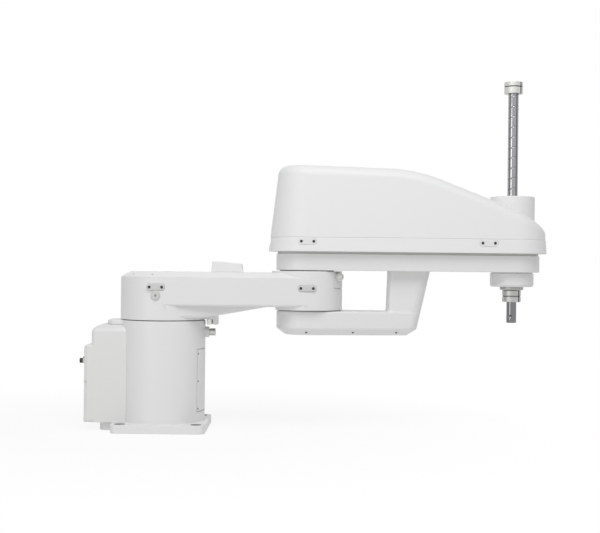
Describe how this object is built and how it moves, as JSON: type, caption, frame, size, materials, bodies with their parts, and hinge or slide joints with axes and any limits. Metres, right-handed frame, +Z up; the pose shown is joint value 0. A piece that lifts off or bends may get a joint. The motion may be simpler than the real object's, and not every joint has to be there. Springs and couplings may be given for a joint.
{
  "type": "scara robot",
  "caption": "Four-axis assembly robot with a bolted round base, two arms on upright axes under white covers, and a splined spindle that turns and strokes.",
  "frame": {"origin": "shoulder axis at the underside of the foot", "axes": "+X out along both arms to the spindle, +Z up along the shoulder axis, +Y to the left of the reach"},
  "size_m": [1.125, 0.224, 0.852],
  "materials": {
    "coated_casting": "satin white powder coat on cast aluminium",
    "moulded_cover": "fine-textured white moulding",
    "turned_aluminium": "turned, satin",
    "ground_steel": "ground and hardened",
    "zinc_steel": "zinc plated",
    "seal_rubber": "matt black",
    "bumper_rubber": "matt light grey",
    "black_plastic": "moulded black"
  },
  "bodies": {
    "base": {"base_casting": "coated_casting", "connector_housing": "coated_casting", "connector_panel": "moulded_cover", "air_fittings": "black_plastic", "cable_ports": "turned_aluminium", "access_panel": "coated_casting", "shoulder_stop_bolt": "zinc_steel", "shoulder_bearing": "seal_rubber"},
    "inner_arm": {"inner_arm_casting": "coated_casting", "inner_arm_lid": "moulded_cover", "shoulder_stop_block": "turned_aluminium", "elbow_stop_block": "moulded_cover", "elbow_stop_plate": "coated_casting", "elbow_bumper": "bumper_rubber", "shoulder_fixings": "coated_casting", "elbow_fixings": "coated_casting", "elbow_upper_bearing": "seal_rubber", "elbow_lower_bearing": "seal_rubber"},
    "outer_arm": {"outer_arm_casting": "coated_casting", "outer_arm_cover": "moulded_cover", "cover_fixings": "moulded_cover", "cover_rear_fixing": "moulded_cover", "duct_casting": "coated_casting", "duct_riser": "coated_casting", "duct_bottom_cover": "moulded_cover", "nut_housing": "coated_casting"},
    "spline_nut": {"spline_nut": "ground_steel"},
    "spindle": {"spindle_shaft": "ground_steel", "upper_collar": "turned_aluminium", "lower_collar": "turned_aluminium"}
  },
  "joints": [
    {"name": "shoulder", "type": "hinge", "parent": "base", "child": "inner_arm", "pos_m": [0, 0, 0.265], "axis": [0, 0, 1], "range_deg": [-140, 140]},
    {"name": "elbow", "type": "hinge", "parent": "inner_arm", "child": "outer_arm", "pos_m": [0.35, 0, 0.387], "axis": [0, 0, 1], "range_deg": [-135, 135]},
    {"name": "spindle_turn", "type": "hinge", "parent": "outer_arm", "child": "spline_nut", "pos_m": [0.85, 0, 0.349], "axis": [0, 0, 1], "continuous": true},
    {"name": "spindle_stroke", "type": "slide", "parent": "spline_nut", "child": "spindle", "axis": [0, 0, -1], "range_m": [0, 0.25]}
  ]
}
